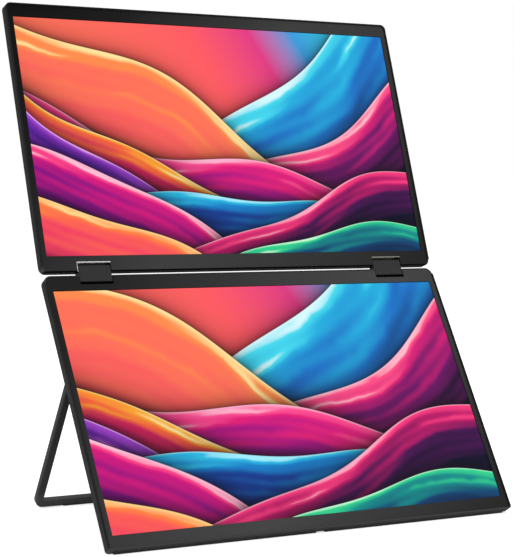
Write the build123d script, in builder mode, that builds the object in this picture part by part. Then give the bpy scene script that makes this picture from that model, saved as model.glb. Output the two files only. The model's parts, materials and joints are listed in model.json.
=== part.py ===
"""Dual portable monitor: two 15.6 inch screens, one above the other, joined by geared
dual-axis hinges and propped up by a U-shaped bail on the lower back cover.

Frame: X to the viewer's right, Y away from the viewer, Z up, millimetres. The origin is on the
table, under the middle of the object. Each screen has its own plane: local x along the hinge
edge, local y from the hinge edge to the far edge, local z out of the screen, zero at the front.
"""

from math import acos, atan2, cos, hypot, radians, sin, tan
import os

from build123d import *

os.makedirs("parts", exist_ok=True)

# Screen and panel
screen_w = 344.16
screen_h = 193.59
side_bezel = 5.8
far_bezel = 11.2
hinge_bezel = 13.0
panel_depth = 8.4
upper_hinge_r = 5.0
upper_far_r = 4.5
lower_hinge_r = 6.0
lower_far_r = 2.2
back_chamfer = 1.6
rim_fillet = 0.8

# Shells and layers
rim_wall = 1.1
ledge = 2.4
inside_chamfer = 5.0
back_wall = 1.2
bezel_recess = 0.3
bezel_t = 0.7
bezel_gap = 0.1
window_margin = 0.3
cell_margin = 2.0
cell_t = 0.9
backlight_t = 1.2
gasket_h = 1.4
gasket_round = 0.45

# Pose at rest
lower_tilt = 33.0
upper_tilt = 21.1

# Geared hinge
hinge_from_side = 43.48
block_w = 27.5
block_h = 15.5
block_d = 7.0
block_fillet = 2.1
block_wall = 0.9
block_end_chamfer = 0.5
block_bearing = 9.5
block_cap_t = 2.6
cap_spigot = 1.0
axis_depth = 3.9
axis_spacing = 9.7
seam_gap = 3.25
notch_side_gap = 0.45
notch_end_gap = 1.9
notch_fillet = 0.8
shaft_hole_gap = 0.3
shaft_r = 1.5
journal_r = 1.0
trunnion_r = 0.8
run_gap = 0.05
gear_teeth = 12
gear_face = 5.0
gear_side_gap = 0.3
gear_plate_t = 1.2
tooth_thinning = 0.02
pressure_angle = 25.0
addendum = 0.8
dedendum = 1.1
friction_plate_t = 1.3
friction_plate_gap = 0.25
bracket_from_hinge = 45.0
bracket_depth = 9.4
bracket_foot_t = 2.5
bracket_barrel_t = 1.0

# Screws
screw_r = 0.8
screw_head_r = 1.8
screw_head_t = 0.8
screw_length = 3.5
screw_boss_r = 2.0
bracket_screw_at = (7.0, 21.0)
bracket_screw_y = 7.4
far_screw_x = 60.0
far_screw_from_side = 12.88
far_screw_inset = 5.8

# Driver board, ports and buttons on the right-hand side
board_w = 26.0
board_l = 112.0
board_t = 0.8
board_y = 108.0
board_rise = 0.5
board_edge_gap = 1.5
board_post_r = 2.0
board_post_inset = 5.0
chip_edge_gap = 1.0
chip_sizes = ((14.0, 14.0, 1.1, -22.0), (10.0, 7.0, 0.9, 2.0), (8.0, 8.0, 1.0, 18.0))
port_z = -5.0
port_inset = 0.2
port_gap = 0.1
usb_y = (62.0, 78.0)
usb_w = 8.94
usb_h = 3.2
usb_wall = 0.3
usb_l = 7.4
tongue_w = 6.7
tongue_t = 0.7
tongue_l = 4.6
hdmi_tongue_w = 8.8
port_tab_w = 1.2
port_tab_l = 2.2
hdmi_y = 98.0
hdmi_w = 11.2
hdmi_h = 3.2
hdmi_l = 7.8
hdmi_corner = 0.9
power_y = 124.0
power_w = 9.0
rocker_y = 145.0
rocker_w = 16.0
button_h = 2.4
button_proud = 0.45
button_chamfer = 0.25
button_gap = 0.12
button_flange = 1.0
button_flange_t = 0.5
button_flange_lip = 0.25
button_travel = 0.35
rocker_pin_r = 0.5
rocker_pin_stub = 0.5
rocker_socket_gap = 0.05
switch_w = 4.6
switch_d = 3.4
switch_t = 1.9
plunger_w = 1.6
plunger_t = 1.0
plunger_gap = 0.05

# Speakers
speaker_w = 36.0
speaker_h = 12.0
speaker_t = 2.8
speaker_corner = 2.4
speaker_chamfer = 0.6
speaker_from_side = 65.88
speaker_y = 172.0
grille_slots = 6
grille_pitch = 4.6
grille_slot_w = 1.2
grille_slot_l = 7.0

# Raised housing and folding bail on the lower back cover
hump_length = 154.0
hump_h = 5.8
hump_corner = 6.0
hump_chamfer = 1.2
hump_wall = 1.3
bail_from_side = 18.88
bail_w = 6.2
bail_d = 5.8
bail_round = 1.2
bail_corner = 7.2
bail_length = 152.5
bail_from_far_edge = 164.0
bail_nest_gap = 0.3
bail_side_gap = 1.5
pin_r = 1.5
pin_in_bail = 4.0
pin_in_hump = 9.0
pin_boss_w = 11.0
washer_r = 2.4
washer_play = 0.1

# Rubber feet
foot_min = 0.4
foot_strip_l = 168.0
foot_strip_from_side = 5.88
foot_strip_w = 2.3
pad_l = 44.0
pad_from_leg = 47.0
pad_w = 3.6
pad_h = 1.6

# Worked out from the values above
panel_w = screen_w + 2 * side_bezel
panel_h = screen_h + far_bezel + hinge_bezel
half_w = panel_w / 2
hinge_x = half_w - hinge_from_side
bracket_inboard = hinge_x - bracket_from_hinge
bracket_screw_x = [bracket_inboard + at for at in bracket_screw_at]
far_screws_x = (far_screw_x, half_w - far_screw_from_side)
speaker_x = half_w - speaker_from_side
bail_half_w = half_w - bail_from_side
foot_strip_x = half_w - foot_strip_from_side - foot_strip_l / 2
pad_x = bail_half_w - pad_from_leg
wall_h = panel_depth - back_chamfer
glass_z = -(bezel_recess + bezel_t)
cell_back_z = glass_z - cell_t
floor_z = back_wall - panel_depth
axis_inset = (axis_spacing - seam_gap) / 2
notch_w = block_w + 2 * notch_side_gap
block_reach = (block_h - axis_spacing) / 2
notch_depth = axis_inset + block_reach + notch_end_gap
hump_from_far_edge = bail_from_far_edge - bail_length + bail_w + bail_side_gap
hump_start = panel_h - hump_from_far_edge - hump_length
hump_half_w = bail_half_w - bail_w - bail_side_gap
hump_back_z = -panel_depth - hump_h
bail_pivot_y = panel_h - bail_from_far_edge
bail_pivot_z = -panel_depth - bail_nest_gap - bail_d / 2
board_top_z = floor_z + board_rise + board_t
board_edge = half_w - ledge - board_edge_gap
rocker_press_at = rocker_w / 3


def face_plane(y, z, tilt, far_edge_up):
    """Front plane of a panel whose hinge edge has its middle at y, z."""
    lean = radians(tilt)
    along = (1, 0, 0) if far_edge_up else (-1, 0, 0)
    return Plane(origin=(0, y, z), x_dir=along, z_dir=(0, -cos(lean), sin(lean)))


def place_panels():
    """Stand both panels on the table, with the object's depth centred on Y = 0."""
    lower = face_plane(0, 0, lower_tilt, far_edge_up=False)
    upper = face_plane(0, 0, upper_tilt, far_edge_up=True)
    link_tilt = radians((lower_tilt + upper_tilt) / 2)
    link = Vector(0, sin(link_tilt), cos(link_tilt)) * axis_spacing
    lower_axis = lower.from_local_coords(Vector(0, axis_inset, -axis_depth))
    upper_axis = upper.from_local_coords(Vector(0, axis_inset, -axis_depth))
    step = lower_axis + link - upper_axis
    lowest = lower.from_local_coords(Vector(0, panel_h, -wall_h))
    front = lower.from_local_coords(Vector(0, panel_h, 0))
    back = upper.from_local_coords(Vector(0, panel_h - back_chamfer, -panel_depth)) + step
    y = -(front.Y + back.Y) / 2
    z = foot_min - lowest.Z
    return (
        face_plane(y, z, lower_tilt, far_edge_up=False),
        face_plane(y + step.Y, z + step.Z, upper_tilt, far_edge_up=True),
    )


lower_face, upper_face = place_panels()
lower_axis_at = lower_face.from_local_coords(Vector(0, axis_inset, -axis_depth))
upper_axis_at = upper_face.from_local_coords(Vector(0, axis_inset, -axis_depth))
link_dir = (upper_axis_at - lower_axis_at).normalized()
# The link plane looks along X: its local x runs from the lower axis to the upper one
link_plane = Plane(origin=(lower_axis_at + upper_axis_at) / 2, x_dir=link_dir, z_dir=(1, 0, 0))


def across(face, x, y=0.0, z=0.0):
    """Plane at a panel point, square to the panel's width: local x is the panel's y."""
    return Plane(origin=face.from_local_coords(Vector(x, y, z)), x_dir=face.y_dir, z_dir=face.x_dir)


def outline(inset, corners):
    """Rounded rectangle of a panel layer, inset from the panel's own outline."""
    hinge_r, far_r = corners
    with BuildSketch(mode=Mode.PRIVATE) as layer_edge:
        with Locations((0, panel_h / 2)):
            Rectangle(panel_w - 2 * inset, panel_h - 2 * inset)
        fillet(layer_edge.vertices().group_by(Axis.Y)[0], hinge_r - inset)
        fillet(layer_edge.vertices().group_by(Axis.Y)[-1], far_r - inset)
    return layer_edge.sketch


def screw_places():
    """Local x, y of the screws that hold one panel together."""
    brackets = [(s * x, bracket_screw_y) for s in (-1, 1) for x in bracket_screw_x]
    far_edge = [(s * x, panel_h - far_screw_inset) for s in (-1, 1) for x in far_screws_x]
    return brackets, far_edge


def back_cover(face, side, corners, raised, screws):
    """Metal tray with a rim round the screen, hinge notches, port holes and screw holes."""
    normal = Axis(face.origin, face.z_dir)
    with BuildPart() as cover:
        with BuildSketch(face.offset(-panel_depth)):
            add(outline(0, corners))
        extrude(amount=panel_depth)
        chamfer(cover.faces().sort_by(normal)[0].edges(), back_chamfer)
        fillet(cover.faces().sort_by(normal)[-1].edges(), rim_fillet)
        if raised:
            with BuildSketch(face.offset(hump_back_z)):
                with Locations((0, hump_start + hump_length / 2)):
                    RectangleRounded(2 * hump_half_w, hump_length, hump_corner)
            extrude(amount=hump_h + back_wall / 2)
            chamfer(cover.faces().sort_by(normal)[0].edges(), hump_chamfer)
        # Step in the rim that seats the gasket on the two sides and the far edge
        with BuildSketch(face.offset(-rim_fillet)):
            with Locations((0, (panel_h + corners[0]) / 2)):
                Rectangle(panel_w, panel_h - corners[0])
            add(outline(rim_wall, corners), mode=Mode.SUBTRACT)
        extrude(amount=rim_fillet, mode=Mode.SUBTRACT)
        # Rebate for the bezel
        with BuildSketch(face.offset(glass_z)):
            add(outline(rim_wall, corners))
        extrude(amount=-glass_z, mode=Mode.SUBTRACT)
        # Inside, with the walls round the two notches left standing
        with BuildSketch(face.offset(floor_z)) as inside:
            with Locations((0, (panel_h - ledge + rim_wall) / 2)):
                Rectangle(panel_w - 2 * ledge, panel_h - ledge - rim_wall)
            chamfer(inside.vertices(), inside_chamfer)
            with Locations((hinge_x, 0), (-hinge_x, 0)):
                Rectangle(notch_w + 2 * rim_wall, 2 * (notch_depth + rim_wall), mode=Mode.SUBTRACT)
        extrude(amount=glass_z - floor_z, mode=Mode.SUBTRACT)
        if raised:
            inner_w = 2 * (hump_half_w - hump_wall)
            with BuildSketch(face.offset(hump_back_z + back_wall)):
                with Locations((0, hump_start + hump_length / 2)):
                    RectangleRounded(inner_w, hump_length - 2 * hump_wall, hump_corner - hump_wall)
                with Locations((hump_half_w, bail_pivot_y), (-hump_half_w, bail_pivot_y)):
                    Rectangle(2 * pin_in_hump + 2 * hump_wall, pin_boss_w, mode=Mode.SUBTRACT)
            extrude(amount=floor_z - hump_back_z - back_wall, mode=Mode.SUBTRACT)
            with BuildSketch(across(face, -hump_half_w, bail_pivot_y, bail_pivot_z)):
                Circle(pin_r)
            extrude(amount=pin_in_hump, mode=Mode.SUBTRACT)
            with BuildSketch(across(face, hump_half_w, bail_pivot_y, bail_pivot_z)):
                Circle(pin_r)
            extrude(amount=-pin_in_hump, mode=Mode.SUBTRACT)
        # Notches for the hinge blocks, and the holes that let the shafts in
        with BuildSketch(face):
            with Locations((hinge_x, 0), (-hinge_x, 0)):
                RectangleRounded(notch_w, 2 * notch_depth, notch_fillet)
        extrude(amount=-panel_depth, mode=Mode.SUBTRACT)
        for s in (-1, 1):
            wall_x = s * (hinge_x - notch_w / 2)
            with BuildSketch(across(face, wall_x, axis_inset, -axis_depth)):
                Circle(shaft_r + shaft_hole_gap)
            extrude(amount=-s * rim_wall, mode=Mode.SUBTRACT)
        # Ledges under the driver board
        with BuildSketch(face.offset(floor_z)):
            with Locations((side * (board_edge - board_w / 2), board_y)):
                with GridLocations(board_w - 2 * board_post_inset, board_l - 2 * board_post_inset, 2, 2):
                    Circle(board_post_r)
        extrude(amount=board_rise)
        # Port, button and rocker holes in the side wall
        with BuildSketch(across(face, side * half_w, 0, port_z)):
            with Locations(*[(y, 0) for y in usb_y]):
                SlotOverall(usb_w + 2 * port_gap, usb_h + 2 * port_gap)
            with Locations((hdmi_y, 0)):
                Rectangle(hdmi_w + 2 * port_gap, hdmi_h + 2 * port_gap)
            with Locations((power_y, 0)):
                SlotOverall(power_w + 2 * button_gap, button_h + 2 * button_gap)
            with Locations((rocker_y, 0)):
                SlotOverall(rocker_w + 2 * button_gap, button_h + 2 * button_gap)
        extrude(amount=-side * ledge, mode=Mode.SUBTRACT)
        socket_h = button_h + 2 * (rocker_pin_stub + rocker_socket_gap)
        with BuildSketch(face.offset(port_z - socket_h / 2)):
            with Locations((side * (half_w - ledge / 2), rocker_y)):
                Circle(rocker_pin_r + rocker_socket_gap)
        extrude(amount=socket_h, mode=Mode.SUBTRACT)
        # Countersunk screw holes
        add(screws, mode=Mode.SUBTRACT)
        # Speaker grilles
        speaker_floor = hump_back_z if raised else -panel_depth
        with BuildSketch(face.offset(speaker_floor)):
            with Locations((speaker_x, speaker_y), (-speaker_x, speaker_y)):
                with GridLocations(grille_pitch, 0, grille_slots, 1):
                    SlotOverall(grille_slot_l, grille_slot_w, rotation=90)
        extrude(amount=back_wall, mode=Mode.SUBTRACT)
    return cover


def front_bezel(face, corners):
    """Thin frame round the screen, with screw posts behind its far edge."""
    edge = rim_wall + bezel_gap
    _, far_edge = screw_places()
    with BuildPart() as bezel:
        with BuildSketch(face.offset(glass_z)):
            add(outline(edge, corners))
            with Locations((0, hinge_bezel + screen_h / 2)):
                Rectangle(screen_w + 2 * window_margin, screen_h + 2 * window_margin, mode=Mode.SUBTRACT)
            with Locations((hinge_x, 0), (-hinge_x, 0)):
                RectangleRounded(notch_w, 2 * notch_depth, notch_fillet, mode=Mode.SUBTRACT)
        extrude(amount=bezel_t)
        with BuildSketch(face.offset(floor_z)):
            with Locations(*far_edge):
                Circle(screw_boss_r)
        extrude(amount=glass_z - floor_z)
        with BuildSketch(face.offset(floor_z)):
            with Locations(*far_edge):
                Circle(screw_r)
        extrude(amount=screw_length - back_wall, mode=Mode.SUBTRACT)
    return bezel


def bezel_gasket(face, corners):
    """Soft strip on three sides of the rim, which keeps the folded screens apart."""
    hinge_r, far_r = corners
    inset = rim_wall / 2
    x = half_w - inset
    far = panel_h - inset
    start = Plane(
        origin=face.from_local_coords(Vector(x, hinge_r, -rim_fillet)),
        x_dir=-face.x_dir,
        z_dir=face.y_dir,
    )
    with BuildPart() as gasket:
        with BuildLine(face.offset(-rim_fillet)) as path:
            FilletPolyline((x, hinge_r), (x, far), (-x, far), (-x, hinge_r), radius=far_r - inset)
        with BuildSketch(start) as section:
            with Locations((0, gasket_h / 2)):
                Rectangle(rim_wall, gasket_h)
            fillet(section.vertices().group_by(Axis(start.origin, start.y_dir))[-1], gasket_round)
        sweep(path=path.line)
    return gasket


def layer(face, front_z, thickness):
    """Flat layer of the display, a little larger than the lit area."""
    with BuildPart() as sheet:
        with BuildSketch(face.offset(front_z - thickness)):
            with Locations((0, hinge_bezel + screen_h / 2)):
                Rectangle(screen_w + 2 * cell_margin, screen_h + 2 * cell_margin)
        extrude(amount=thickness)
    return sheet


def driver_board(face, side):
    """Circuit board beside the ports, with its larger chips and a notch for each port."""
    with BuildPart() as board:
        with BuildSketch(face.offset(board_top_z - board_t)):
            with Locations((side * (board_edge - board_w / 2), board_y)):
                Rectangle(board_w, board_l)
            port_depth = 2 * (usb_l + port_inset + port_gap)
            with Locations(*[(side * half_w, y) for y in usb_y]):
                Rectangle(port_depth, usb_w + 2 * port_gap, mode=Mode.SUBTRACT)
            port_depth = 2 * (hdmi_l + port_inset + port_gap)
            with Locations((side * half_w, hdmi_y)):
                Rectangle(port_depth, hdmi_w + 2 * port_gap, mode=Mode.SUBTRACT)
        extrude(amount=board_t)
        for chip_w, chip_l, chip_t, offset_y in chip_sizes:
            with BuildSketch(face.offset(board_top_z)):
                with Locations((side * (board_edge - board_w + chip_edge_gap + chip_w / 2), board_y + offset_y)):
                    Rectangle(chip_w, chip_l)
            extrude(amount=chip_t)
    return board


def usb_c_ports(face, side):
    """Two receptacles: a closed shell, a tongue, and tabs that rest on the board."""
    mouth = across(face, side * (half_w - port_inset), 0, port_z)
    inner_end = across(face, side * (half_w - port_inset - usb_l + usb_wall), 0, port_z)
    tab_span = usb_w + 2 * (port_gap + port_tab_w)
    with BuildPart() as ports:
        for y in usb_y:
            with BuildSketch(mouth):
                with Locations((y, 0)):
                    SlotOverall(usb_w, usb_h)
            extrude(amount=-side * usb_l)
            with BuildSketch(mouth):
                with Locations((y, 0)):
                    SlotOverall(usb_w - 2 * usb_wall, usb_h - 2 * usb_wall)
            extrude(amount=-side * (usb_l - usb_wall), mode=Mode.SUBTRACT)
            with BuildSketch(inner_end):
                with Locations((y, 0)):
                    Rectangle(tongue_w, tongue_t)
            extrude(amount=side * tongue_l)
            with BuildSketch(inner_end):
                with Locations((y, board_top_z - port_z + usb_wall / 2)):
                    Rectangle(tab_span, usb_wall)
                with Locations((y, 0)):
                    SlotOverall(usb_w - usb_wall, usb_h - usb_wall, mode=Mode.SUBTRACT)
            extrude(amount=side * port_tab_l)
    return ports


def hdmi_port(face, side):
    """Small receptacle with bevelled lower corners and a flat tongue."""
    mouth = across(face, side * (half_w - port_inset), hdmi_y, port_z)
    inner_end = across(face, side * (half_w - port_inset - hdmi_l + usb_wall), hdmi_y, port_z)
    with BuildPart() as port:
        with BuildSketch(mouth) as shell:
            Rectangle(hdmi_w, hdmi_h)
            chamfer(shell.vertices().group_by(Axis(mouth.origin, mouth.y_dir))[0], hdmi_corner)
        extrude(amount=-side * hdmi_l)
        with BuildSketch(mouth) as inside:
            Rectangle(hdmi_w - 2 * usb_wall, hdmi_h - 2 * usb_wall)
            chamfer(inside.vertices().group_by(Axis(mouth.origin, mouth.y_dir))[0], hdmi_corner)
        extrude(amount=-side * (hdmi_l - usb_wall), mode=Mode.SUBTRACT)
        with BuildSketch(inner_end):
            Rectangle(hdmi_tongue_w, tongue_t)
        extrude(amount=side * tongue_l)
        with BuildSketch(inner_end):
            with Locations((0, board_top_z - port_z + usb_wall / 2)):
                Rectangle(hdmi_w + 2 * (port_gap + port_tab_w), usb_wall)
            Rectangle(hdmi_w - usb_wall, hdmi_h - usb_wall, mode=Mode.SUBTRACT)
        extrude(amount=side * port_tab_l)
    return port


def power_button(face, side):
    """Push button with a flange that keeps it behind the side wall."""
    flange_front = across(face, side * (half_w - ledge - button_gap), power_y, port_z)
    with BuildPart() as button:
        with BuildSketch(flange_front):
            SlotOverall(power_w, button_h)
        extrude(amount=side * (button_gap + ledge + button_proud))
        with BuildSketch(flange_front):
            Rectangle(power_w + 2 * button_flange, button_h + 2 * button_flange_lip)
        extrude(amount=-side * button_flange_t)
        outer = button.faces().sort_by(Axis(face.origin, face.x_dir * side))[-1]
        chamfer(outer.edges(), button_chamfer)
    return button


def menu_rocker(face, side):
    """Two-way rocker on a pair of stub pins that snap into the side wall."""
    pin_span = button_h + 2 * rocker_pin_stub
    with BuildPart() as rocker:
        with BuildSketch(across(face, side * (half_w - ledge), rocker_y, port_z)):
            SlotOverall(rocker_w, button_h)
        extrude(amount=side * (ledge + button_proud))
        outer = rocker.faces().sort_by(Axis(face.origin, face.x_dir * side))[-1]
        chamfer(outer.edges(), button_chamfer)
        with BuildSketch(face.offset(port_z - pin_span / 2)):
            with Locations((side * (half_w - ledge / 2), rocker_y)):
                Circle(rocker_pin_r)
        extrude(amount=pin_span)
    return rocker


def side_switches(face, side):
    """Tact switches on the board's edge, one behind the button, two behind the rocker."""
    button_back = half_w - ledge - button_gap - button_flange_t - button_travel
    places = (
        (power_y, button_back - plunger_gap),
        (rocker_y - rocker_press_at, half_w - ledge - button_travel - plunger_gap),
        (rocker_y + rocker_press_at, half_w - ledge - button_travel - plunger_gap),
    )
    with BuildPart() as switches:
        for y, plunger_tip in places:
            with BuildSketch(face.offset(board_top_z)):
                with Locations((side * (board_edge - switch_d / 2), y)):
                    Rectangle(switch_d, switch_w)
            extrude(amount=switch_t)
            with BuildSketch(across(face, side * board_edge, y, board_top_z + switch_t / 2)):
                Rectangle(plunger_w, plunger_t)
            extrude(amount=side * (plunger_tip - board_edge))
    return switches


def speakers(face, raised):
    """Two flat speaker boxes over the grille slots."""
    seat = hump_back_z + back_wall if raised else floor_z
    with BuildPart() as pair:
        with BuildSketch(face.offset(seat)):
            with Locations((speaker_x, speaker_y), (-speaker_x, speaker_y)):
                RectangleRounded(speaker_w, speaker_h, speaker_corner)
        extrude(amount=speaker_t)
        rim = pair.faces().group_by(Axis(face.origin, face.z_dir))[-1]
        chamfer(rim.edges(), speaker_chamfer)
    return pair


def cover_screws(face):
    """Countersunk screws, flush with the back: four in the brackets and four in the bezel posts."""
    brackets, far_edge = screw_places()
    with BuildPart() as screws:
        for x, y in brackets + far_edge:
            centre = Plane(
                origin=face.from_local_coords(Vector(x, y, -panel_depth)), x_dir=face.x_dir, z_dir=face.y_dir
            )
            with BuildSketch(centre):
                with BuildLine():
                    Polyline(
                        (0, 0),
                        (screw_head_r, 0),
                        (screw_r, -screw_head_t),
                        (screw_r, -screw_length),
                        (0, -screw_length),
                        close=True,
                    )
                make_face()
            revolve(axis=Axis(centre.origin, face.z_dir))
    return screws


def hinge_bracket(face, side):
    """Steel bracket: a barrel that grips the shaft, and a foot screwed to the cover."""
    outboard = hinge_x - notch_w / 2 - rim_wall
    length = outboard - bracket_inboard
    start = across(face, side * bracket_inboard)
    with BuildPart() as bracket:
        with BuildSketch(start):
            with BuildLine():
                Polyline(
                    (rim_wall, floor_z),
                    (rim_wall + bracket_depth, floor_z),
                    (rim_wall + bracket_depth, floor_z + bracket_foot_t),
                    (axis_inset + shaft_r + bracket_barrel_t, floor_z + bracket_foot_t),
                    (axis_inset + shaft_r + bracket_barrel_t, shaft_r + bracket_barrel_t - axis_depth),
                    (rim_wall, shaft_r + bracket_barrel_t - axis_depth),
                    close=True,
                )
            make_face()
        extrude(amount=side * length)
        with BuildSketch(across(face, side * outboard, axis_inset, -axis_depth)):
            Circle(shaft_r)
        extrude(amount=-side * (length - bracket_foot_t), mode=Mode.SUBTRACT)
        with BuildSketch(face.offset(floor_z)):
            with Locations(*[(side * x, bracket_screw_y) for x in bracket_screw_x]):
                Circle(screw_r)
        extrude(amount=screw_length - back_wall, mode=Mode.SUBTRACT)
    return bracket


# Layout inside a hinge block, as distances from the middle of the object
block_in = hinge_x - block_w / 2
block_out = hinge_x + block_w / 2
bearing_end = block_in + block_bearing
cap_start = block_out - block_cap_t
gear_end = cap_start - cap_spigot - gear_side_gap
gear_start = gear_end - gear_face
gear_plate_end = gear_start - gear_side_gap
gear_plate_start = gear_plate_end - gear_plate_t
gear_distance = axis_spacing / 3
pitch_r = gear_distance / 2
gear_module = 2 * pitch_r / gear_teeth
journal_end = cap_start + block_cap_t / 2


def link_at(x):
    """Plane across the hinge at a distance x along the width."""
    return link_plane.offset(x)


def block_section(inset=0.0):
    """Rounded section of the hinge block, less a wall."""
    RectangleRounded(block_h - 2 * inset, block_d - 2 * inset, block_fillet - inset)


def axis_places():
    """The two panel axes and the two idler axes, in the link plane."""
    return [((i - 1.5) * gear_distance, 0) for i in range(4)]


def hinge_block(side):
    """Barrel cover of one hinge: solid bearing end inboard, open for the gears outboard."""
    shafts = (axis_places()[0], axis_places()[3])
    with BuildPart() as block:
        with BuildSketch(link_at(side * block_in)):
            block_section()
        extrude(amount=side * (cap_start - block_in))
        inboard = block.faces().sort_by(Axis.X)[0 if side > 0 else -1]
        chamfer(inboard.edges(), block_end_chamfer)
        with BuildSketch(link_at(side * bearing_end)):
            block_section(block_wall)
        extrude(amount=side * (cap_start - bearing_end), mode=Mode.SUBTRACT)
        with BuildSketch(link_at(side * block_in)):
            with Locations(*shafts):
                Circle(shaft_r + run_gap)
        extrude(amount=side * block_bearing, mode=Mode.SUBTRACT)
    return block


def hinge_cap(side):
    """Outer end of the barrel cover, with a spigot that carries the ends of shafts and idlers."""
    places = axis_places()
    spigot_end = cap_start - cap_spigot
    with BuildPart() as cap:
        with BuildSketch(link_at(side * cap_start)):
            block_section()
        extrude(amount=side * block_cap_t)
        outboard = cap.faces().sort_by(Axis.X)[-1 if side > 0 else 0]
        chamfer(outboard.edges(), block_end_chamfer)
        with BuildSketch(link_at(side * spigot_end)):
            block_section(block_wall)
        extrude(amount=side * cap_spigot)
        with BuildSketch(link_at(side * spigot_end)):
            with Locations(places[0], places[3]):
                Circle(journal_r + run_gap)
            with Locations(places[1], places[2]):
                Circle(trunnion_r + run_gap)
        extrude(amount=side * (journal_end - spigot_end), mode=Mode.SUBTRACT)
    return cap


def gear_plates():
    """Bearing plates that hold the inboard ends of the idlers, one in each block."""
    places = axis_places()
    with BuildPart() as plates:
        for side in (-1, 1):
            with BuildSketch(link_at(side * gear_plate_start)):
                block_section(block_wall)
                with Locations(places[0], places[3]):
                    Circle(shaft_r + run_gap, mode=Mode.SUBTRACT)
                with Locations(places[1], places[2]):
                    Circle(trunnion_r + run_gap, mode=Mode.SUBTRACT)
            extrude(amount=side * gear_plate_t)
    return plates


def friction_plates():
    """Spectacle-shaped plates that clamp both shafts and hold the screens where they are put."""
    places = axis_places()
    pitch = friction_plate_t + friction_plate_gap
    count = int((gear_plate_start - bearing_end) / pitch)
    with BuildPart() as plates:
        for side in (-1, 1):
            for i in range(count):
                with BuildSketch(link_at(side * (bearing_end + friction_plate_gap + i * pitch))):
                    SlotOverall(block_h - 2 * block_wall, block_d - 2 * block_wall)
                    with Locations(places[0], places[3]):
                        Circle(shaft_r + run_gap, mode=Mode.SUBTRACT)
                extrude(amount=side * friction_plate_t)
    return plates


def involute(angle):
    """Involute function of a pressure angle, in radians."""
    return tan(angle) - angle


def gear_profile(turned):
    """Spur gear outline; turned puts a gap instead of a tooth on the line of centres."""
    base_r = pitch_r * cos(radians(pressure_angle))
    tip_r = pitch_r + addendum * gear_module
    root_r = pitch_r - dedendum * gear_module
    half_pitch = radians(90 / gear_teeth) - tooth_thinning / pitch_r
    at_base = half_pitch + involute(radians(pressure_angle))

    def flank(r):
        return at_base - involute(acos(min(base_r / r, 1)))

    def polar(r, angle):
        return (r * cos(angle), r * sin(angle))

    start = 180 / gear_teeth if turned else 0
    with BuildSketch(mode=Mode.PRIVATE) as tooth:
        with BuildLine():
            foot = root_r - gear_module / 2
            Line(polar(foot, -at_base), polar(base_r, -at_base))
            ThreePointArc(
                polar(base_r, -at_base), polar(pitch_r, -flank(pitch_r)), polar(tip_r, -flank(tip_r))
            )
            Line(polar(tip_r, -flank(tip_r)), polar(tip_r, flank(tip_r)))
            ThreePointArc(
                polar(tip_r, flank(tip_r)), polar(pitch_r, flank(pitch_r)), polar(base_r, at_base)
            )
            Line(polar(base_r, at_base), polar(foot, at_base))
            Line(polar(foot, at_base), polar(foot, -at_base))
        make_face()
    Circle(root_r)
    with PolarLocations(0, gear_teeth, start_angle=start):
        add(tooth.sketch)


def gear_sketch(side, place, turned):
    """Gear outline in its place at the inboard end of a block's gear space."""
    at = link_at(side * gear_start)
    centre = at.from_local_coords(Vector(place[0], place[1], 0))
    with BuildSketch(Plane(origin=centre, x_dir=at.x_dir, z_dir=at.z_dir)) as gear:
        gear_profile(turned)
    return gear.sketch


def hinge_shaft(side, place, turned):
    """Hinge shaft from the panel's bracket through the block, with its pinion cut on it."""
    inner = bracket_inboard + bracket_foot_t
    with BuildPart() as shaft:
        with BuildSketch(link_at(side * inner)):
            with Locations(place):
                Circle(shaft_r)
        extrude(amount=side * (gear_start - inner))
        extrude(gear_sketch(side, place, turned), amount=side * gear_face)
        with BuildSketch(link_at(side * gear_end)):
            with Locations(place):
                Circle(journal_r)
        extrude(amount=side * (journal_end - gear_side_gap - gear_end))
    return shaft


def idler_gears(place, turned):
    """The pair of idlers on one axis, one in each block, with their trunnions."""
    length = journal_end - gear_side_gap - gear_plate_start
    with BuildPart() as idlers:
        for side in (-1, 1):
            extrude(gear_sketch(side, place, turned), amount=side * gear_face)
            with BuildSketch(link_at(side * gear_plate_start)):
                with Locations(place):
                    Circle(trunnion_r)
            extrude(amount=side * length)
    return idlers


# The bail, in its own plane: local y from the pivot down the leg, local z towards the front
pivot_at = lower_face.from_local_coords(Vector(0, bail_pivot_y, bail_pivot_z))
reach = hypot(bail_length - bail_round, bail_d / 2 - bail_round)
lag = atan2(bail_d / 2 - bail_round, bail_length - bail_round)
bail_tilt = lag + acos((pivot_at.Z - foot_min - bail_round) / reach)
bail_plane = Plane(origin=pivot_at, x_dir=(-1, 0, 0), z_dir=(0, -cos(bail_tilt), -sin(bail_tilt)))


def stand_frame():
    """U-shaped bail of bent bar, with rounded ends that turn on the pins."""
    x = bail_half_w - bail_w / 2
    far = bail_length - bail_w / 2
    start = Plane(
        origin=bail_plane.from_local_coords(Vector(x, 0, 0)), x_dir=-bail_plane.x_dir, z_dir=bail_plane.y_dir
    )
    with BuildPart() as bail:
        with BuildLine(bail_plane) as path:
            FilletPolyline((x, 0), (x, far), (-x, far), (-x, 0), radius=bail_corner - bail_w / 2)
        with BuildSketch(start):
            RectangleRounded(bail_w, bail_d, bail_round)
        sweep(path=path.line)
        for s in (-1, 1):
            end = Plane(
                origin=bail_plane.from_local_coords(Vector(s * x, 0, 0)),
                x_dir=-bail_plane.x_dir,
                z_dir=bail_plane.y_dir,
            )
            with BuildSketch(end):
                RectangleRounded(bail_w, bail_d, bail_round)
                with Locations((0, -bail_d / 2)):
                    Rectangle(bail_w, bail_d, mode=Mode.SUBTRACT)
            revolve(axis=Axis(end.origin, bail_plane.x_dir), revolution_arc=180)
            with BuildSketch(across(bail_plane, s * (bail_half_w - bail_w))):
                Circle(pin_r + run_gap)
            extrude(amount=s * (pin_in_bail + run_gap), mode=Mode.SUBTRACT)
    return bail


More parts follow.
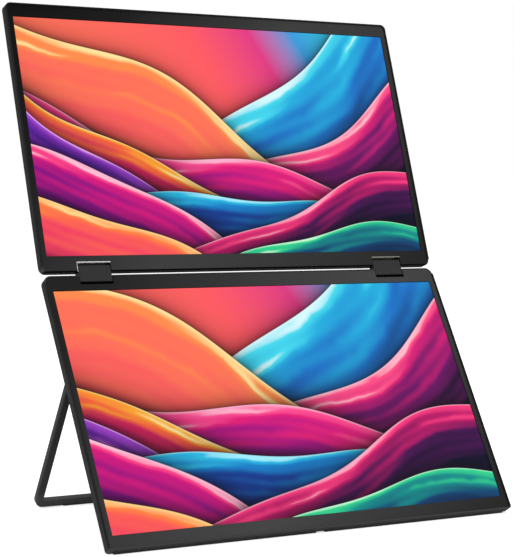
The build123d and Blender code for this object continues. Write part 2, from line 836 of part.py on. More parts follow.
def stand_pins():
    """Pivot pins, pressed into the raised housing and running in the legs of the bail."""
    start = hump_half_w - pin_in_hump
    length = bail_half_w - bail_w + pin_in_bail - start
    with BuildPart() as pins:
        for s in (-1, 1):
            with BuildSketch(across(lower_face, s * start, bail_pivot_y, bail_pivot_z)):
                Circle(pin_r)
            extrude(amount=s * length)
    return pins


def stand_washers():
    """Washers on the pins between the housing and the legs."""
    with BuildPart() as washers:
        for s in (-1, 1):
            with BuildSketch(across(lower_face, s * hump_half_w, bail_pivot_y, bail_pivot_z)):
                Circle(washer_r)
                Circle(pin_r, mode=Mode.SUBTRACT)
            extrude(amount=s * (bail_side_gap - washer_play))
    return washers


def stand_foot_pads(bail):
    """Rubber pads under the foot of the bail, flat on the table."""
    corner = bail_plane.from_local_coords(
        Vector(0, bail_length - bail_round, bail_d / 2 - bail_round)
    )
    with BuildPart() as pads:
        for s in (-1, 1):
            with BuildSketch(Plane.YZ.offset(s * pad_x - pad_l / 2)):
                with Locations((corner.Y + pad_w / 2 - bail_round / 2, pad_h / 2)):
                    Rectangle(pad_w, pad_h)
            extrude(amount=pad_l)
        add(bail, mode=Mode.SUBTRACT)
    return pads


def lower_foot_strips():
    """Rubber strips under the bottom edge of the lower panel, flat on the table."""
    back = lower_face.from_local_coords(Vector(0, panel_h, -wall_h))
    front = lower_face.from_local_coords(Vector(0, panel_h, -wall_h + foot_strip_w))
    with BuildPart() as strips:
        for s in (-1, 1):
            with BuildSketch(Plane.YZ.offset(s * foot_strip_x - foot_strip_l / 2)):
                with BuildLine():
                    Polyline((back.Y, back.Z), (front.Y, front.Z), (front.Y, 0), (back.Y, 0), close=True)
                make_face()
            extrude(amount=foot_strip_l)
    return strips


def save(builder, name):
    """Label a finished piece and write it to its own file."""
    builder.part.label = name
    export_step(builder.part, f"parts/{name}.step")


def build_panel(prefix, face, side, corners, raised, axis_place, turned):
    """Every piece that one panel carries; side is the local direction of the ports."""
    screws = cover_screws(face)
    save(screws, f"{prefix}_cover_screws")
    save(back_cover(face, side, corners, raised, screws.part), f"{prefix}_back_cover")
    save(front_bezel(face, corners), f"{prefix}_front_bezel")
    save(bezel_gasket(face, corners), f"{prefix}_bezel_gasket")
    save(layer(face, glass_z, cell_t), f"{prefix}_display_cell")
    save(layer(face, cell_back_z, backlight_t), f"{prefix}_backlight_unit")
    save(driver_board(face, side), f"{prefix}_driver_board")
    save(usb_c_ports(face, side), f"{prefix}_usb_c_ports")
    save(hdmi_port(face, side), f"{prefix}_hdmi_port")
    save(side_switches(face, side), f"{prefix}_side_switches")
    save(power_button(face, side), f"{prefix}_power_button")
    save(menu_rocker(face, side), f"{prefix}_menu_rocker")
    save(speakers(face, raised), f"{prefix}_speakers")
    # A panel's own x may run either way; the hinge sides are named as the viewer sees them
    for hand, viewer_side in (("left", -1), ("right", 1)):
        local_side = viewer_side * (1 if face.x_dir.X > 0 else -1)
        save(hinge_bracket(face, local_side), f"{prefix}_hinge_bracket_{hand}")
        save(hinge_shaft(viewer_side, axis_place, turned), f"{prefix}_hinge_shaft_{hand}")


places = axis_places()
build_panel("lower", lower_face, -1, (lower_hinge_r, lower_far_r), True, places[0], turned=False)
build_panel("upper", upper_face, 1, (upper_hinge_r, upper_far_r), False, places[3], turned=True)

for hand, viewer_side in (("left", -1), ("right", 1)):
    save(hinge_block(viewer_side), f"hinge_block_{hand}")
    save(hinge_cap(viewer_side), f"hinge_cap_{hand}")
save(gear_plates(), "hinge_gear_plates")
save(friction_plates(), "hinge_friction_plates")
save(idler_gears(places[1], turned=True), "idler_gears_a")
save(idler_gears(places[2], turned=False), "idler_gears_b")

bail = stand_frame()
save(bail, "stand_frame")
save(stand_pins(), "stand_pins")
save(stand_washers(), "stand_washers")
save(stand_foot_pads(bail.part), "stand_foot_pads")
save(lower_foot_strips(), "lower_foot_strips")

print(f"lower axis Y {lower_axis_at.Y:.3f} Z {lower_axis_at.Z:.3f}")
print(f"upper axis Y {upper_axis_at.Y:.3f} Z {upper_axis_at.Z:.3f}")
print(f"bail pivot Y {pivot_at.Y:.3f} Z {pivot_at.Z:.3f}, leg tilt {bail_tilt * 57.29578:.2f} degrees")
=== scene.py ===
import json
import math

import bmesh
import bpy
from mathutils import Matrix, Vector


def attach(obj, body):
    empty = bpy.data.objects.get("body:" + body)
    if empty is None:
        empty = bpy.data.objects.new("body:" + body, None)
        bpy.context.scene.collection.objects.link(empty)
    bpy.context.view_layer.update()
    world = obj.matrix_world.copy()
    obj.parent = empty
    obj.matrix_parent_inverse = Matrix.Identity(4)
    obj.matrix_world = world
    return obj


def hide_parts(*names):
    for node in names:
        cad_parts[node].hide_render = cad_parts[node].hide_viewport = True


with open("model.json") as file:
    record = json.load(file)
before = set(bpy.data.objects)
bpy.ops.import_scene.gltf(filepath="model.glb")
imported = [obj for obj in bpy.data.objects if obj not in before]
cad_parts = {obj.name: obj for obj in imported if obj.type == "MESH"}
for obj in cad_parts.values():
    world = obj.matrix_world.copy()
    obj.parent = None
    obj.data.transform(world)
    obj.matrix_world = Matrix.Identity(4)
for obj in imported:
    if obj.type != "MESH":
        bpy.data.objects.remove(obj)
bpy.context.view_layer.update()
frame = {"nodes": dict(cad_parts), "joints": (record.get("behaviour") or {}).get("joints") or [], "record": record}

nodes = frame["nodes"]
joints = {j["name"]: j for j in frame["joints"]}

# Sizes of the panels, in metres, as in the CAD source
mm = 0.001
screen_w, screen_h = 344.16 * mm, 193.59 * mm
half_w, panel_h, panel_depth = 177.88 * mm, 217.79 * mm, 8.4 * mm
hinge_bezel = 13.0 * mm
axis_inset, axis_depth = 3.225 * mm, 3.9 * mm
hinge_x = 134.4 * mm
notch_half_w, notch_depth, notch_round = 14.2 * mm, 8.025 * mm, 0.8 * mm
port_inset, port_z = 0.2 * mm, -5.0 * mm

lean = {"lower": math.radians(33.0), "upper": math.radians(21.1)}
x_sign = {"lower": -1, "upper": 1}  # which way a panel's own x runs in the scene
hinge_at = {prefix: Vector(joints[prefix + "_hinge"]["pos_m"]) for prefix in lean}
right = Vector((1, 0, 0))


def panel_frame(prefix):
    """Matrix of a panel: x along its hinge edge, y away from the hinge, z out of the screen."""
    t, s = lean[prefix], x_sign[prefix]
    x = Vector((s, 0, 0))
    y = Vector((0, s * math.sin(t), s * math.cos(t)))
    z = Vector((0, -math.cos(t), math.sin(t)))
    at = hinge_at[prefix] - y * axis_inset + z * axis_depth
    return Matrix.Translation(at) @ Matrix((x, y, z)).transposed().to_4x4()


panels = {prefix: panel_frame(prefix) for prefix in lean}


def along_panel(prefix, *distances):
    """Direction up a panel's face, and where distances off its hinge edge come along it."""
    up = Vector((0, math.sin(lean[prefix]), math.cos(lean[prefix])))
    return (up, *((panels[prefix] @ Vector((0, y, 0))).dot(up) for y in distances))


def tone(hex_code):
    """Linear colour of an sRGB hex code."""
    channels = [int(hex_code[i : i + 2], 16) / 255 for i in (0, 2, 4)]
    linear = [c / 12.92 if c <= 0.04045 else ((c + 0.055) / 1.055) ** 2.4 for c in channels]
    return (*linear, 1.0)


class Value:
    """A number that varies over a surface; arithmetic on it adds Math nodes."""

    def __init__(self, graph, socket):
        self.graph = graph
        self.socket = socket

    def __add__(self, other):
        return self.graph.math("ADD", self, other)

    def __sub__(self, other):
        return self.graph.math("SUBTRACT", self, other)

    def __mul__(self, other):
        return self.graph.math("MULTIPLY", self, other)

    __rmul__ = __mul__


class Graph:
    """A node material and short ways to add to it."""

    def __init__(self, name):
        self.material = bpy.data.materials.new(name)
        self.material.use_nodes = True
        self.tree = self.material.node_tree
        self.tree.nodes.clear()
        self.output = self.add("ShaderNodeOutputMaterial")
        self.place = self.add("ShaderNodeTexCoord").outputs["Object"]

    def add(self, kind, inputs=None, **settings):
        node = self.tree.nodes.new(kind)
        for key, value in settings.items():
            setattr(node, key, value)
        for key, value in (inputs or {}).items():
            self.feed(node.inputs[key], value)
        return node

    def feed(self, socket, value):
        if isinstance(value, Value):
            value = value.socket
        if isinstance(value, bpy.types.NodeSocket):
            self.tree.links.new(value, socket)
        else:
            socket.default_value = value

    def math(self, operation, *values, clamp=False):
        inputs = dict(enumerate(values))
        node = self.add("ShaderNodeMath", inputs, operation=operation, use_clamp=clamp)
        return Value(self, node.outputs[0])

    def sine(self, value):
        return self.math("SINE", value)

    def clamped(self, value, factor=1.0):
        return self.math("MULTIPLY", value, factor, clamp=True)

    def mix(self, factor, first, second):
        inputs = {0: factor, 6: first, 7: second}
        return self.add("ShaderNodeMix", inputs, data_type="RGBA").outputs[2]

    def ramp(self, factor, stops):
        node = self.add("ShaderNodeValToRGB", {0: factor})
        elements = node.color_ramp.elements
        while len(elements) < len(stops):
            elements.new(0.5)
        for element, (position, colour) in zip(elements, stops):
            element.position = position
            element.color = colour
        return node.outputs[0]

    def noise(self, scale, detail, roughness=0.5):
        inputs = {"Vector": self.place, "Scale": scale, "Detail": detail, "Roughness": roughness}
        return Value(self, self.add("ShaderNodeTexNoise", inputs).outputs[0])

    def spread(self, value, low, high, out_low, out_high):
        inputs = {0: value, 1: low, 2: high, 3: out_low, 4: out_high}
        return Value(self, self.add("ShaderNodeMapRange", inputs).outputs[0])

    def measured(self, direction, start, length):
        """How far a point lies along a direction from a start, as a share of a length."""
        inputs = {0: self.place, 1: direction}
        dot = self.add("ShaderNodeVectorMath", inputs, operation="DOT_PRODUCT")
        return (Value(self, dot.outputs["Value"]) - start) * (1 / length)

    def up_panel(self, prefix, near, length):
        """Share of a stretch of a panel from its lower end up; near is its end by the hinge."""
        low_y = near + (length if prefix == "lower" else 0)
        return self.measured(*along_panel(prefix, low_y), length)

    def matte_noises(self, grain_mm):
        """Fine grain, slow clouds, and smears."""
        return self.noise(1000 / grain_mm, 1.0), self.noise(9.0, 3.0), self.noise(38.0, 4.0, 0.6)

    def relief(self, fine, strength):
        inputs = {"Height": fine, "Strength": strength, "Distance": 0.1 * mm}
        return self.add("ShaderNodeBump", inputs).outputs[0]

    def surface(self, colour, roughness, specular, normal, metallic=0.0):
        inputs = {
            "Base Color": colour,
            "Metallic": metallic,
            "Roughness": roughness,
            "Specular IOR Level": specular,
            "Normal": normal,
        }
        shader = self.add("ShaderNodeBsdfPrincipled", inputs)
        self.feed(self.output.inputs["Surface"], shader.outputs[0])
        return shader


def zone(grey, specular, *steps):
    """Part of a surface painted with a tone and specular level that stand in for its light and shade, where all
    its steps are up.

    A step is a direction and the two distances along it between which it rises.
    """
    return grey, specular, steps


def zone_share(g, steps):
    """1 inside a zone and 0 outside."""
    share = None
    for direction, start, end in steps:
        rise = g.clamped(g.measured(direction, start, end - start))
        share = rise if share is None else share * rise
    return share


def moulded(
    name, base, light, rough, grain_mm=0.25, grain=0.1, specular=0.3, metallic=0.0, zones=()
):
    """Matte surface: fine grain, slow change between two tones, faint smears in the gloss, and zones of painted
    light and painted shade.
    """
    g = Graph(name)
    fine, cloud, smear = g.matte_noises(grain_mm)
    shade = g.spread(cloud * 0.7 + fine * 0.3, 0.35, 0.65, 0.0, 1.0)
    colour = g.mix(shade, tone(base), tone(light))
    level = specular
    # Each zone lays its painted light and shade tone and specular level over the surface
    for grey, zone_level, steps in zones:
        share = zone_share(g, steps)
        colour = g.mix(share, colour, (cloud * 0.2 + 0.9) * grey)
        level = g.math("MULTIPLY_ADD", share, g.math("SUBTRACT", zone_level, level), level)
    roughness = g.spread(smear * 0.7 + fine * 0.3, 0.3, 0.7, rough - 0.06, rough + 0.06)
    shader = g.surface(colour, roughness, level, g.relief(fine, grain), metallic)
    # The export drops a linked specular level, so the socket keeps the plain one
    shader.inputs["Specular IOR Level"].default_value = specular
    return g.material


# Zones of painted light and painted shade, from the tones in the photo; shade_black is the grey and specular level
# of painted shade that looks black
shade_black = (0.0008, 0.02)
link = (hinge_at["upper"] - hinge_at["lower"]).normalized()
link_middle = (hinge_at["upper"] + hinge_at["lower"]).dot(link) / 2
# Painted shade on the ends of the hinge blocks, where they sit in the notch gaps
block_end_shade = [
    zone(*shade_black, (link, link_middle + s * 6.3 * mm, link_middle + s * 6.8 * mm)) for s in (-1, 1)
]
# Painted light: the stand's foot bar is lighter, as a low front light would leave it
foot_bar_light = [zone(0.046, 0.3, (Vector((0, 0, 1)), 14 * mm, 8 * mm))]
# Painted shade, black, on the walls of the upper cover's notches round the hinge blocks
notch_wall_shade = [
    zone(
        *shade_black,
        along_panel("upper", 8.9 * mm, 8.6 * mm),
        (right, s * hinge_x - 15.0 * mm, s * hinge_x - 14.7 * mm),
        (right, s * hinge_x + 15.0 * mm, s * hinge_x + 14.7 * mm),
    )
    for s in (-1, 1)
]
# Painted shade: the covers' side walls are darker
side_wall_shade = [
    zone(0.005, 0.2, (right, s * (half_w - 0.7 * mm), s * (half_w - 0.3 * mm))) for s in (-1, 1)
]
# Painted shade, black, on the upper cover's wall along the seam at the hinge edge
hinge_wall_shade = [zone(*shade_black, along_panel("upper", 1.4 * mm, 0.9 * mm))]
# Painted light: the lower cover's bottom wall, which faces the floor, is painted lighter in place of its shade
bottom_wall_light = [zone(0.040, 0.3, along_panel("lower", panel_h - 1.6 * mm, panel_h - 1.1 * mm))]
# Painted light: the gasket's run along the bottom edge is lighter, covering the shadow under the rim
bottom_strip_light = [zone(0.034, 0.2, along_panel("lower", panel_h - 2.2 * mm, panel_h - 1.6 * mm))]

# Each look: two tones, roughness, grain in mm, strength of the grain, specular level
cover_look = ("1d1e20", "232427", 0.5, 0.2, 0.15, 0.35)
rubber_look = ("0b0b0c", "111112", 0.75, 0.3, 0.2, 0.2)
finishes = {
    "soft_rubber": moulded("soft_rubber", *rubber_look),
    "film_stack": moulded("film_stack", "cfd0cc", "dcddd8", 0.4),
    "circuit_board": moulded("circuit_board", "12381f", "184a2a", 0.45),
    "port_steel": moulded("port_steel", "9a9a9c", "b0b0b2", 0.3, metallic=1.0),
    "switch_plastic": moulded("switch_plastic", "a09f98", "b4b3ac", 0.5),
    "speaker_plastic": moulded("speaker_plastic", "141415", "1b1b1c", 0.6),
    "screw_steel": moulded("screw_steel", "1c1c1e", "28282a", 0.4, metallic=0.6),
    "hinge_steel": moulded("hinge_steel", "7d7d80", "949497", 0.35, metallic=1.0),
    # Hinge blocks, with painted shade on their ends
    "hinge_cover": moulded(
        "hinge_cover", "1b1c1b", "222322", 0.5, 0.2, 0.12, 0.22, zones=block_end_shade
    ),
    # Stand, with painted light on its foot bar
    "stand_metal": moulded("stand_metal", "1c1d1f", "242527", 0.5, 0.2, 0.15, 0.35, zones=foot_bar_light),
    "washer_plastic": moulded("washer_plastic", "b9b7ae", "c8c6bd", 0.45),
    "button_plastic": moulded("button_plastic", "151617", "1c1d1e", 0.45, 0.2, 0.1, 0.35),
}

# The generic picture on the screens. Each wave, back to front: turn in degrees, level, main swell
# and ripple as height, count and phase, folds, depth, and its colours from the crest down
backdrop = "ff8a58 ff7058 ff5a62 e23a84 3a9cdc 2fd0ea"
backdrop_stops = (0, 0.3, 0.52, 0.68, 0.82, 0.98)
wave_stops = (0.0, 0.03, 0.14, 0.42, 0.86)
waves = (
    (34, 0.02, (0.07, 2.4, 1.4), (0.02, 6.3, 1.0), 30, 0.62, "dffcff 46dcf0 22aee0 1a74c8 0a1850"),
    (27, -0.10, (0.08, 2.9, 0.3), (0.02, 7.1, 0.2), 46, 0.34, "ffc4d4 ff5088 d81c76 700e66 14052a"),
    (-27, 0.86, (0.10, 2.3, 1.2), (0.03, 6.0, 0.2), 34, 0.70, "ffe9a0 ff8e4c ff7556 ff655c f8485e"),
    (-20, 0.67, (0.09, 2.7, 4.4), (0.03, 6.6, 2.5), 48, 0.34, "ffb8d2 ff4f94 e81c7c a80c84 3a0660"),
    (-35, 0.63, (0.07, 3.2, 5.6), (0.02, 8.0, 0.9), 60, 0.22, "fff0a8 ffac30 ff6a3c dc2460 5e0a5c"),
    (-38, 0.55, (0.07, 3.0, 5.3), (0.02, 8.0, 0.9), 56, 0.30, "f2b8ff b04cd8 7026ac 38107e 0e0432"),
    (-12, 0.40, (0.08, 3.4, 3.9), (0.03, 7.4, 4.0), 50, 0.26, "a8f2ff 2cc0e8 1482cc 123e94 080e3c"),
    (-24, 0.37, (0.08, 3.1, 1.0), (0.02, 7.2, 3.3), 52, 0.34, "ffcade ff4488 d8147e 8a0a80 240450"),
    (12, -0.06, (0.06, 3.6, 2.0), (0.02, 8.2, 1.1), 58, 0.24, "ffb4cc fc3c80 be1668 4a0c52 08042a"),
    (7, -0.11, (0.05, 3.8, 2.7), (0.02, 8.6, 0.4), 54, 0.20, "d0ffdc 34d890 10908a 0c4470 081440"),
    (-17, 0.18, (0.07, 3.6, 0.9), (0.03, 7.2, 3.3), 42, 0.36, "ffdc90 ff8040 ff6450 f44260 a81058"),
    (-5, -0.03, (0.07, 3.0, 3.6), (0.03, 6.8, 1.9), 46, 0.30, "a8f2ff 30c4e8 1284ca 143e90 0a1040"),
    (-9, -0.16, (0.08, 3.4, 2.2), (0.02, 7.8, 0.9), 46, 0.30, "ffc0d0 ff4478 cc1466 5a0c5c 12052c"),
)
shadow_strength, shadow_reach = 0.82, 0.035
edge_sharpness = 400.0

# Scale and offsets of the picture's coordinates on each screen, in screen heights
picture_place = {"upper": (1.0, 0.0, 0.0), "lower": (0.82, 0.31, 0.02)}


def toned_ramp(g, factor, places, hex_codes):
    return g.ramp(factor, [(place, tone(code)) for place, code in zip(places, hex_codes.split())])


def wave_picture(g, u, v):
    """Layered waves over a soft backdrop; u and v run from the lower left, in screen heights."""

    def swell(along, height, count, phase):
        return height * g.sine(count * along + phase)

    drift = g.noise(14.0, 3.0, 0.55)
    sweep = u * 0.46 + v * 0.22 + 0.06 * g.sine(3.1 * u + 1.7 * v + 0.6)
    picture = toned_ramp(g, sweep, backdrop_stops, backdrop)
    for turn, level, main, ripple, folds, depth, colours in waves:
        c, s = math.cos(math.radians(turn)), math.sin(math.radians(turn))
        a = c * u + s * v
        below = swell(a, *main) + swell(a, *ripple) + level - (c * v - s * u)
        fold = g.sine(folds * below + 2.2 * g.sine(3.0 * a + main[2]) + 2.0 * a + 5.0 * drift)
        fine = g.sine(3.1 * folds * below + 3.0 * g.sine(2.2 * a + ripple[2]) + 9.0 * drift)
        down = g.clamped(below, 1 / depth)
        inside = g.clamped(down, 6.0)
        layer = toned_ramp(g, down + (0.11 * fold + 0.05 * fine) * inside, wave_stops, colours)
        nearness = g.math("EXPONENT", g.math("MINIMUM", below, 0.0) * (1 / shadow_reach))
        dimmed = {0: picture, "Scale": nearness * -shadow_strength + 1.0}
        shaded = g.add("ShaderNodeVectorMath", dimmed, operation="SCALE").outputs[0]
        edge = g.math("MULTIPLY_ADD", below, edge_sharpness, 0.5, clamp=True)
        picture = g.mix(edge, shaded, layer)
    return picture


def lit_screen(prefix):
    """Display surface with the picture in its lit area and a black border round it."""
    g = Graph(prefix + "_display")
    u = g.measured(right, -screen_w / 2, screen_h)
    v = g.up_panel(prefix, hinge_bezel, screen_h)
    half_wide = screen_w / screen_h / 2
    from_middle = g.math(
        "MAXIMUM",
        g.math("ABSOLUTE", u - half_wide) - half_wide,
        g.math("ABSOLUTE", v - 0.5) - 0.5,
    )
    lit = g.math("LESS_THAN", from_middle, 0.0)
    scale, from_u, from_v = picture_place[prefix]
    picture = wave_picture(g, u * scale + from_u, v * scale + from_v)
    inputs = {
        "Base Color": (0.004, 0.004, 0.005, 1),
        "Roughness": 0.35,
        "Specular IOR Level": 0.03,
        "Emission Color": g.mix(lit, (0.0, 0.0, 0.0, 1.0), picture),
        "Emission Strength": 1.0,
    }
    shader = g.add("ShaderNodeBsdfPrincipled", inputs)
    g.feed(g.output.inputs["Surface"], shader.outputs[0])
    return g.material


# Painted sheen of each bezel, a painted highlight band: where its lightest band crosses the low edge, how far
# right it has moved at the top, and the greys at distances from it, all as shares of the panel
painted_sheen = {
    "upper": (
        0.28,
        0.47,
        (-0.72, 0.001),
        (-0.47, 0.005),
        (-0.25, 0.018),
        (0.0, 0.035),
        (0.22, 0.029),
        (0.7, 0.010),
    ),
    "lower": (
        0.33,
        0.54,
        (-0.72, 0.009),
        (-0.47, 0.021),
        (-0.25, 0.034),
        (0.02, 0.044),
        (0.22, 0.033),
        (0.65, 0.012),
    ),
}
sheen_squeeze = 0.55  # fits the whole run of the band in the ramp's 0 to 1
noise_middle = 0.05  # what the noises add to the band on average


def painted_bezel_sheen(prefix):
    """Matte bezel with a painted sheen: its tone rises to a soft diagonal band of painted highlight and falls off
    to two corners.
    """
    peak, slope, *stops = painted_sheen[prefix]
    g = Graph(prefix + "_bezel")
    across = g.measured(right, -half_w, 2 * half_w)
    level = g.up_panel(prefix, 0, panel_h)
    fine, cloud, smear = g.matte_noises(0.25)
    band = across - level * slope + (cloud * 0.06 + fine * 0.04)
    greys = [
        (0.5 + sheen_squeeze * at, (grey, grey * 1.01, grey * 1.03, 1.0)) for at, grey in stops
    ]
    middle = 0.5 - sheen_squeeze * (peak + noise_middle)
    colour = g.ramp(band * sheen_squeeze + middle, greys)
    roughness = g.spread(smear * 0.7 + fine * 0.3, 0.3, 0.7, 0.5, 0.62)
    g.surface(colour, roughness, 0.08, g.relief(fine, 0.15))
    return g.material


# Finishes of single nodes, in place of their slot's
own = {prefix + "_display_cell": lit_screen(prefix) for prefix in panels}
own |= {prefix + "_front_bezel": painted_bezel_sheen(prefix) for prefix in panels}
# Covers and gasket carry zones of painted shade and painted light
own["upper_back_cover"] = moulded(
    "upper_cover_metal_painted_shade", *cover_look, zones=side_wall_shade + notch_wall_shade + hinge_wall_shade
)
own["lower_back_cover"] = moulded("lower_cover_metal_painted_light_and_shade", *cover_look, zones=side_wall_shade + bottom_wall_light)
own["lower_bezel_gasket"] = moulded("gasket_rubber_painted_light", *rubber_look, zones=bottom_strip_light)
own["lower_foot_strips"] = moulded("foot_rubber", "2b2b2b", "333333", 0.75, 0.3, 0.2, 0.2)

for part in frame["record"]["subparts"]:
    node = nodes[part["node"]]
    finish = own.get(part["node"]) or finishes[part["material_slot"]]
    node.data.materials.clear()
    node.data.materials.append(finish)

gold = moulded("contact_gold", "d8a848", "e6bc62", 0.25, metallic=1.0)
tongue_black = moulded("tongue_black", "0c0c0d", "141415", 0.5)
# Painted shade in the screws' recesses
recess_painted_shade = moulded("recess_painted_shade", "0a0a0b", "121213", 0.55, metallic=0.4)


def shown(name, form, materials, body, slot_name, *stands_for):
    """Turns a bmesh into a piece that rides on a body and stands for CAD nodes."""
    mesh = bpy.data.meshes.new(name)
    form.to_mesh(mesh)
    form.free()
    for material in materials:
        mesh.materials.append(material)
    piece = bpy.data.objects.new(name, mesh)
    bpy.context.scene.collection.objects.link(piece)
    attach(piece, body)
    if stands_for:
        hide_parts(*stands_for)


def block(form, place, low, high, material):
    """Adds a box between two corners of a panel's frame to a bmesh."""
    corners = [
        form.verts.new(place @ Vector((x, y, z)))
        for x in (low[0], high[0])
        for y in (low[1], high[1])
        for z in (low[2], high[2])
    ]
    loops = ((0, 1, 3, 2), (4, 6, 7, 5), (0, 4, 5, 1), (2, 3, 7, 6), (0, 2, 6, 4), (1, 5, 7, 3))
    faces = [form.faces.new([corners[i] for i in loop]) for loop in loops]
    for face in faces:
        face.material_index = material
    bmesh.ops.recalc_face_normals(form, faces=faces)


def tube(form, rows, materials):
    """Skin round rows of vertices with caps at both ends; a material for each band."""
    for low, high, material in zip(rows, rows[1:], materials):
        for i in range(len(low)):
            j = (i + 1) % len(low)
            form.faces.new((low[i], low[j], high[j], high[i])).material_index = material
    form.faces.new(rows[0])
    form.faces.new(rows[-1]).material_index = materials[-1]


# Screws in mm: across and off the hinge edge, then across and off the far edge
near_screws, near_screw_y = (96.4, 110.4), 7.4
far_screws, far_screw_inset = (60, 165), 5.8
screw_sides, screw_lobes = 36, 6
# Rings of a screw from its shank out and into the recess: radius, depth and lobe in mm, material, where 1 is the
# recess's painted shade
screw_rings = (
    (0.8, 3.5, 0, 0),
    (0.8, 0.8, 0, 0),
    (1.74, 0.04, 0, 0),
    (1.66, 0.0, 0, 0),
    (1.1, 0.0, 0, 0),
    (0.84, 0.04, 0.12, 0),
    (0.8, 0.12, 0.12, 1),
    (0.76, 0.6, 0.12, 1),
)


def screw_set(prefix):
    """Countersunk screws with a six-lobe recess, in the places of the CAD's plain ones."""
    far_y = panel_h - far_screw_inset * mm
    places = [(s * x * mm, near_screw_y * mm) for s in (-1, 1) for x in near_screws]
    places += [(s * x * mm, far_y) for s in (-1, 1) for x in far_screws]
    form = bmesh.new()
    for x, y in places:
        rows = []
        for radius, depth, lobe, _ in screw_rings:
            row = []
            for i in range(screw_sides):
                turn = 2 * math.pi * i / screw_sides
                r = (radius + lobe * math.cos(screw_lobes * turn)) * mm
                spot = (x + r * math.cos(turn), y + r * math.sin(turn), depth * mm - panel_depth)
                row.append(form.verts.new(panels[prefix] @ Vector(spot)))
            rows.append(row)
        tube(form, rows, [ring[3] for ring in screw_rings[1:]])
    bmesh.ops.recalc_face_normals(form, faces=form.faces)
    materials = (finishes["screw_steel"], recess_painted_shade)
    body, stands_for = prefix + "_display", prefix + "_cover_screws"
    shown(prefix + "_lobed_screws", form, materials, body, "screw_steel", stands_for)


# Ports in mm: their places off the hinge edge, how far in the tongue starts, its half width,
# contacts in a row, their pitch, and on which sides of the tongue there are rows
ports = {
    "usb_c_ports": ((62, 78), 7.1, 3.35, 12, 0.5, (-1, 1)),
    "hdmi_port": ((98,), 7.5, 4.4, 19, 0.4, (1,)),
}
tongue_half_t, contact_t, slack = 0.35 * mm, 0.03 * mm, 0.05 * mm
contact_from, contact_to = 1.2 * mm, 4.3 * mm


def port_set(prefix, kind):
    """Copy of the port shells with a black tongue and gold contacts on it."""
    places, tongue_in, tongue_half, count, pitch, rows = ports[kind]
    side, place = x_sign[prefix], panels[prefix]
    back = place.inverted()
    root_x = half_w - port_inset - tongue_in * mm
    form = bmesh.new()
    form.from_mesh(nodes[f"{prefix}_{kind}"].data)
    for face in form.faces:
        spot = back @ face.calc_center_median()
        in_width = min(abs(spot.y - y * mm) for y in places) < tongue_half * mm + slack
        in_height = abs(spot.z - port_z) < tongue_half_t + slack
        if in_width and in_height and side * spot.x > root_x + 0.02 * mm:
            face.material_index = 1
    x = sorted((side * (root_x + contact_from), side * (root_x + contact_to)))
    half_contact = pitch * mm * 0.28
    for y in places:
        for i in range(count):
            at = y * mm + (i - (count - 1) / 2) * pitch * mm
            for row in rows:
                z = sorted(port_z + row * (tongue_half_t + t) for t in (0, contact_t))
                low, high = (x[0], at - half_contact, z[0]), (x[1], at + half_contact, z[1])
                block(form, place, low, high, 2)
    materials = (finishes["port_steel"], tongue_black, gold)
    body, stands_for = prefix + "_display", f"{prefix}_{kind}"
    shown(f"{prefix}_{kind}_detailed", form, materials, body, "port_steel", stands_for)


# Section of a notch trim: its width along the notch's sides and end, and its height
trim_side_w, trim_end_w, trim_bevel = 0.25 * mm, 0.3 * mm, 0.1 * mm
trim_front, trim_back = -0.05 * mm, -2.5 * mm
trim_flat = 0.75  # share of the width that is flat in front
corner_steps = 6
bare_steps = 2  # steps of a corner left out where a trim has no leg
trim_leg_end = 0.2 * mm


def notch_highlight_trims():
    """Thin strips round the ends of the upper panel's notches, painted bright as a highlight, with more painted
    light on the left.
    """
    g = Graph("notch_trim_painted_highlight")
    across = g.measured(right, -hinge_x, 2 * hinge_x)
    fine = g.noise(3000.0, 1.0)
    # Painted highlight: near white on the left, falling to a dim beige on the right
    stops = [(0.2, (0.86, 0.86, 0.85, 1)), (0.8, (0.26, 0.25, 0.21, 1))]
    colour = g.ramp(across + fine * 0.02, stops)
    roughness = g.spread(g.noise(60.0, 3.0), 0.3, 0.7, 0.32, 0.42)
    g.surface(colour, roughness, 0.5, g.relief(fine, 0.05))

    turns = [math.radians(90 * i / corner_steps) for i in range(corner_steps + 1)]
    bend = [
        (
            notch_half_w - notch_round * (1 - math.cos(t)),
            notch_depth - notch_round * (1 - math.sin(t)),
        )
        for t in turns
    ]
    mirrored = [(-x, y) for x, y in reversed(bend)]
    end = bend[bare_steps:] + mirrored[:-bare_steps]
    leg = mirrored[-bare_steps:] + [(-notch_half_w, trim_leg_end)]
    for side, word in ((-1, "left"), (1, "right")):
        form = bmesh.new()
        rows = []
        for x, y in end + leg if side < 0 else end:
            inner = (x * (1 - trim_side_w / notch_half_w), y * (1 - trim_end_w / notch_depth))
            flat = (x + (inner[0] - x) * trim_flat, y + (inner[1] - y) * trim_flat)
            ring = (
                (x, y, trim_front),
                (*flat, trim_front),
                (*inner, trim_front - trim_bevel),
                (*inner, trim_back),
                (x, y, trim_back),
            )
            spots = (panels["upper"] @ Vector((side * hinge_x + a, b, c)) for a, b, c in ring)
            rows.append([form.verts.new(spot) for spot in spots])
        tube(form, rows, [0] * (len(rows) - 1))
        bmesh.ops.recalc_face_normals(form, faces=form.faces)
        shown(word + "_notch_highlight_trim", form, (g.material,), "upper_display", "hinge_steel")


notch_highlight_trims()
for prefix in panels:
    screw_set(prefix)
    for kind in ports:
        port_set(prefix, kind)


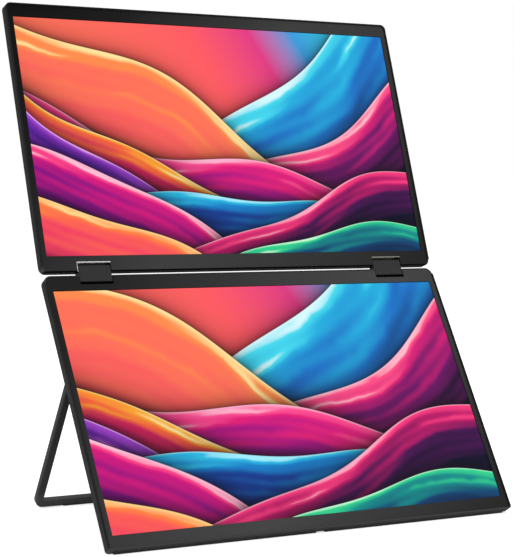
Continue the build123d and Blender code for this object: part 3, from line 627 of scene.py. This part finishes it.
def ground():
    """Wide floor that keeps the object's shadow and looks white to the camera."""
    mesh = bpy.data.meshes.new("floor")
    form = bmesh.new()
    bmesh.ops.create_grid(form, x_segments=12, y_segments=12, size=9.0)
    form.to_mesh(mesh)
    form.free()
    floor = bpy.data.objects.new("floor", mesh)
    bpy.context.scene.collection.objects.link(floor)
    g = Graph("floor_paper")
    diffuse = g.add("ShaderNodeBsdfDiffuse", {"Color": (0.8, 0.8, 0.8, 1)})
    lift = g.add("ShaderNodeEmission", {"Color": (1, 1, 1, 1), "Strength": 0.6})
    both = g.add("ShaderNodeAddShader", {0: diffuse.outputs[0], 1: lift.outputs[0]})
    ray = g.add("ShaderNodeLightPath").outputs["Is Camera Ray"]
    seen = g.add("ShaderNodeMixShader", {0: ray, 1: diffuse.outputs[0], 2: both.outputs[0]})
    g.feed(g.output.inputs["Surface"], seen.outputs[0])
    mesh.materials.append(g.material)


def surroundings():
    """Soft light from all round, behind which the camera sees white."""
    world = bpy.data.worlds.new("studio")
    bpy.context.scene.world = world
    world.use_nodes = True
    tree = world.node_tree
    tree.nodes.clear()

    def plain(strength):
        background = tree.nodes.new("ShaderNodeBackground")
        background.inputs[0].default_value = (1, 1, 1, 1)
        background.inputs[1].default_value = strength
        return background.outputs[0]

    mix = tree.nodes.new("ShaderNodeMixShader")
    ray = tree.nodes.new("ShaderNodeLightPath")
    out = tree.nodes.new("ShaderNodeOutputWorld")
    tree.links.new(ray.outputs["Is Camera Ray"], mix.inputs[0])
    tree.links.new(plain(0.55), mix.inputs[1])
    tree.links.new(plain(1.0), mix.inputs[2])
    tree.links.new(mix.outputs[0], out.inputs[0])


def softbox(name, place, aim, size, power):
    """Rectangular lamp at a place, turned to a point."""
    light = bpy.data.lights.new(name, "AREA")
    light.shape = "RECTANGLE"
    light.size, light.size_y = size
    light.energy = power
    box = bpy.data.objects.new(name, light)
    box.location = place
    box.rotation_euler = (Vector(aim) - Vector(place)).to_track_quat("-Z", "Y").to_euler()
    bpy.context.scene.collection.objects.link(box)


ground()
surroundings()
softbox("key", (-1.3, -1.7, 2.1), (0, 0, 0.2), (1.6, 1.6), 34)
softbox("fill", (1.8, -1.2, 1.2), (0, 0, 0.2), (1.6, 1.6), 12)
softbox("top", (0.0, 0.6, 2.4), (0, 0, 0.2), (1.8, 1.2), 14)
softbox("low", (-1.0, -1.6, 0.12), (0, 0, 0.1), (1.8, 0.2), 7)

# Camera, fitted to the corners of the two screens in the photo; lengths in pixels, turns in degrees
photo_height, focal_length = 557.0, 1837.0
shift_right, shift_up = -0.6, -0.35
camera_at = (-0.7417, -1.2333, 0.2995)
heading, dip, roll = -30.98, 4.64, 1.44

scene = bpy.context.scene
scene.view_settings.view_transform = "Standard"
lens = bpy.data.cameras.new("camera")
lens.sensor_width = 36.0
lens.lens = focal_length * lens.sensor_width / photo_height
lens.shift_x, lens.shift_y = shift_right / photo_height, shift_up / photo_height
camera = bpy.data.objects.new("camera", lens)
camera.matrix_world = (
    Matrix.Translation(camera_at)
    @ Matrix.Rotation(math.radians(heading), 4, "Z")
    @ Matrix.Rotation(math.radians(90 - dip), 4, "X")
    @ Matrix.Rotation(math.radians(roll), 4, "Z")
)
scene.collection.objects.link(camera)
scene.camera = camera

bpy.context.view_layer.update()
